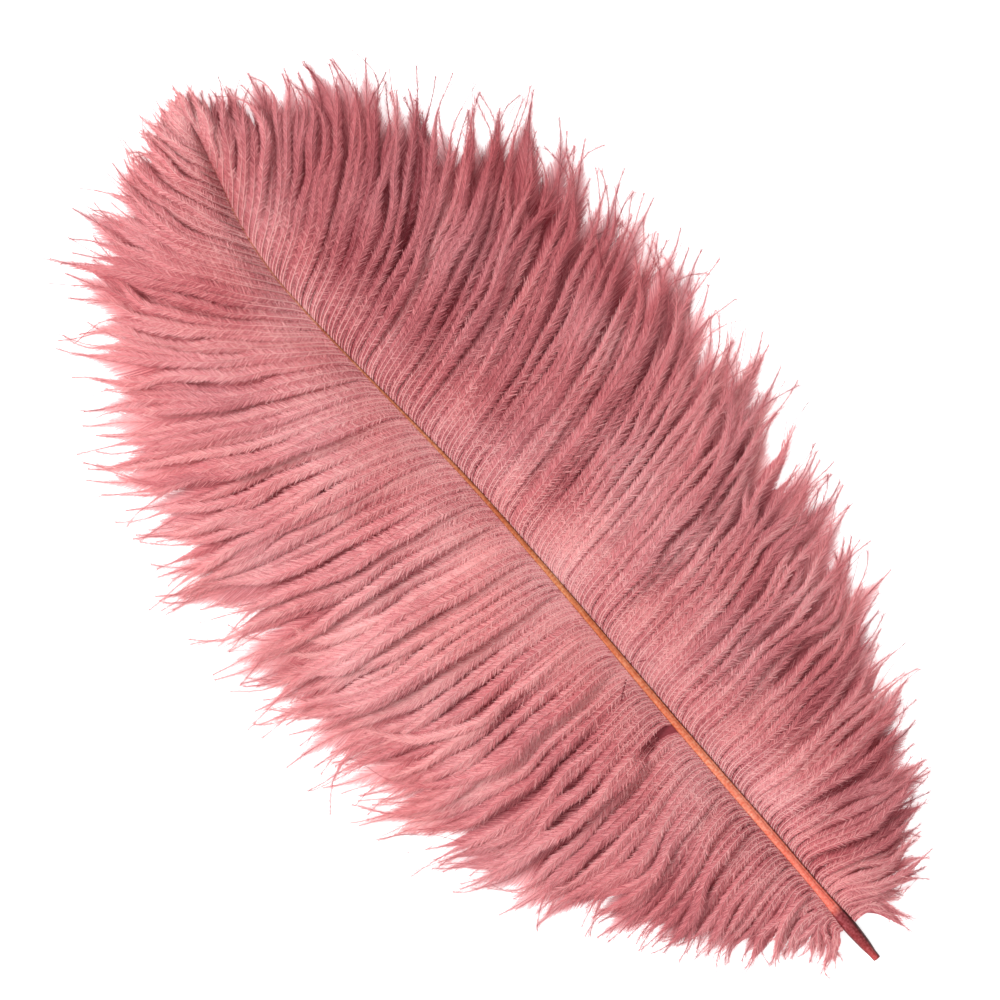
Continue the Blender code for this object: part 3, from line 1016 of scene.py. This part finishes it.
@dataclass(frozen=True)
class ShaftFinish:
    """Dyed horn: dark red on the calamus, salmon on the lower rachis, orange brown upward.

    Attributes:
        dye: The group that makes the dye uneven.
        roughness: Its mean roughness.
        along: Colours from the quill's end to the shaft's tip.
        sides: Factors on the colour at the left and the right edge; the darker right edge is painted shadow.
        bands: Brightness between the sides as painted light and shade: lighter on the left as a painted
            highlight, with painted shade in the groove and a painted shadow band on the right.
    """

    dye: NodeTree
    roughness: float = 0.42
    along: Stops = (
        (0.0, (0.44, 0.07, 0.07)), (0.02, (0.27, 0.045, 0.05)), (0.055, (0.24, 0.04, 0.05)),
        (0.064, (0.68, 0.175, 0.135)), (0.25, (0.56, 0.15, 0.08)), (0.45, (0.42, 0.12, 0.045)),
        (0.75, (0.32, 0.10, 0.05)), (1.0, (0.40, 0.12, 0.08)))
    sides: tuple[Colour, Colour] = ((0.45, 0.36, 0.32), (0.22, 0.14, 0.11))
    bands: tuple[tuple[float, float], ...] = ((0.08, 0.9), (0.16, 1.1), (0.50, 1.05), (0.62, 1.0),
                                              (0.68, 0.6), (0.73, 0.95), (0.82, 0.85), (0.90, 0.35))

    def material(self) -> Material:
        """Make the material.

        The colour follows the place along the feather and, for the painted light and shade with the
        painted shadow band on the right and the painted shade in the groove, the place across it. Grain of
        the dye makes it dull in spots and pits it slightly.

        Returns:
            The material.
        """
        material = bpy.data.materials.new("dyed_shaft")
        material.use_nodes = True
        tree = material.node_tree
        where = add_node(tree, "TexCoord", {}).outputs["Object"]
        along = add_node(tree, "SeparateXYZ", {"Vector": where}).outputs["Y"]
        span = add_node(tree, "MapRange", {"Value": along, "From Min": -0.1925, "From Max": 0.190})
        colour = add_ramp(tree, span.outputs["Result"], self.along)
        across = add_node(tree, "Attribute", {}, attribute_name="shade").outputs["Fac"]
        # Painted light and shade across the shaft: darker edges, a lighter stripe on the left, painted shade
        # in the groove and a painted shadow band on the right.
        bands = ((place, (level, level * 0.96, level * 0.93)) for place, level in self.bands)
        edge = add_ramp(tree, across, ((0.0, self.sides[0]), *bands, (1.0, self.sides[1])))
        shaded = add_node(tree, "Mix", {}, data_type="RGBA", blend_type="MULTIPLY")
        feed(tree, shaded, {"Factor": 1.0, "A": colour, "B": edge})
        dyed = add_node(tree, "Group", {"Color": shaded.outputs["Result"], "Place": where, "Clouds": 0.6,
                                        "Grain": 0.8}, node_tree=self.dye).outputs
        dull = reckon(tree, "MULTIPLY_ADD", dyed["Grain"], 0.3, self.roughness - 0.15)
        pitted = add_node(tree, "Bump", {"Strength": 0.25, "Distance": 0.0002, "Height": dyed["Grain"]})
        feed(tree, tree.nodes["Principled BSDF"], {"Base Color": dyed["Color"], "Roughness": dull,
                                                   "Specular IOR Level": 0.2,
                                                   "Normal": pitted.outputs["Normal"]})
        return material


@dataclass
class Studio:
    """White floor, soft light and a camera that looks straight down."""

    middle: tuple[float, float] = (2.73, 17.4)
    span: float = 354.2
    lens: float = 85.0
    sensor: float = 36.0
    turn: float = -38.64

    def build(self) -> None:
        """Build the floor, the lights and the camera."""
        mesh = bpy.data.meshes.new("floor")
        reach = 20.0
        mesh.from_pydata([(-reach, -reach, 0), (reach, -reach, 0), (reach, reach, 0), (-reach, reach, 0)],
                         [], [(0, 1, 2, 3)])
        floor = bpy.data.objects.new("floor", mesh)
        bpy.context.scene.collection.objects.link(floor)
        material = bpy.data.materials.new("white_ground")
        material.use_nodes = True
        feed(material.node_tree, material.node_tree.nodes["Principled BSDF"],
             {"Base Color": (0.80, 0.80, 0.80, 1.0), "Roughness": 0.9,
              "Emission Color": (1.0, 1.0, 1.0, 1.0), "Emission Strength": 0.6})
        mesh.materials.append(material)

        world = bpy.data.worlds.new("studio")
        bpy.context.scene.world = world
        world.use_nodes = True
        feed(world.node_tree, world.node_tree.nodes["Background"],
             {"Color": (1.0, 1.0, 1.0, 1.0), "Strength": 0.6})
        self.lamp("key", (-1.1, 1.2, 1.5), 0.7, 50.0)
        self.lamp("fill", (-0.3, -0.2, 1.5), 1.2, 6.0)

        camera = bpy.data.cameras.new("camera")
        camera.lens = self.lens
        camera.sensor_width = self.sensor
        distance = self.span * MM * self.lens / self.sensor
        holder = bpy.data.objects.new("camera", camera)
        bpy.context.scene.collection.objects.link(holder)
        x, y = (value * MM for value in self.middle)
        holder.matrix_world = Matrix.Translation((x, y, distance)) @ Matrix.Rotation(
            math.radians(self.turn), 4, "Z")
        bpy.context.scene.camera = holder
        bpy.context.scene.view_settings.view_transform = "Standard"

    def lamp(self, name: str, place: tuple[float, float, float], size: float, power: float) -> None:
        """Add a square area light that faces the feather.

        Args:
            name: Name of the light.
            place: Where it stands, in metres.
            size: Length of its sides, in metres.
            power: Its power in watts.
        """
        light = bpy.data.lights.new(name, "AREA")
        light.size = size
        light.energy = power
        holder = bpy.data.objects.new(name, light)
        bpy.context.scene.collection.objects.link(holder)
        holder.location = place
        holder.rotation_euler = (-Vector(place)).to_track_quat("-Z", "Y").to_euler()


def attach(piece: Object) -> None:
    """Let a piece ride on the feather's body and stand for its solid."""
    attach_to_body(piece, "root")
    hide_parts("feather")


def main() -> None:
    """Build the feather and the studio, and report each piece."""
    logging.basicConfig(level=logging.INFO, format="%(message)s")
    form = ShaftForm()
    dye = uneven_dye()
    barb_finish = BarbFinish(dye)
    firm, soft = barb_finish.material("dyed_barbs", False), barb_finish.material("dyed_down", True)
    attach(Shaft(form).build(ShaftFinish(dye).material()))
    # Breaks across the barbs, drawn as dark tubes of painted shade.
    crack = Nick(((-8.8, -64.5), (-6.0, -62.0), (-2.3, -59.2)), height=10.4)
    spot = Nick(((4.6, -57.0), (7.4, -58.4)), height=9.0)
    vanes = (Vane(GROWTHS[Side.LEFT], form, seed=100, torn=(-87.5, -83.2), nicks=(crack,)),
             Vane(GROWTHS[Side.RIGHT], form, seed=200, relief=1.15, plume=0.66, nicks=(spot,),
                  strand_width=3.6, lean=Curve((0, 0.12, 0.35, 0.6, 1.0), (54, 52, 38, 27, 20)),
                  # The right vane's tone is darker, partly as painted shade.
                  tone_and_painted_light=Curve((-172, -90, -30, 60, 190), (-0.12, -0.08, -0.02, -0.28, -0.12))),
             *(Vane(BASE_GROWTHS[side], form, seed, title="base", start=-177.5, end=-156.0, plume=0.5,
                    looseness=Curve((-178, -156), (2.8, 2.4)), barb_spacing=Curve((-178, -156), (0.8, 1.1)),
                    upper_crest=5.0, under_crest=2.5, cuts=(-178.0, -155.0),
                    lean=Curve((0, 0.2, 1.0), (60, 45, 24)))
               for side, seed in ((Side.LEFT, 300), (Side.RIGHT, 400))))
    for vane in vanes:
        for piece in vane.build(firm, soft):
            attach(piece)
    Studio().build()


if __name__ == "__main__":
    main()
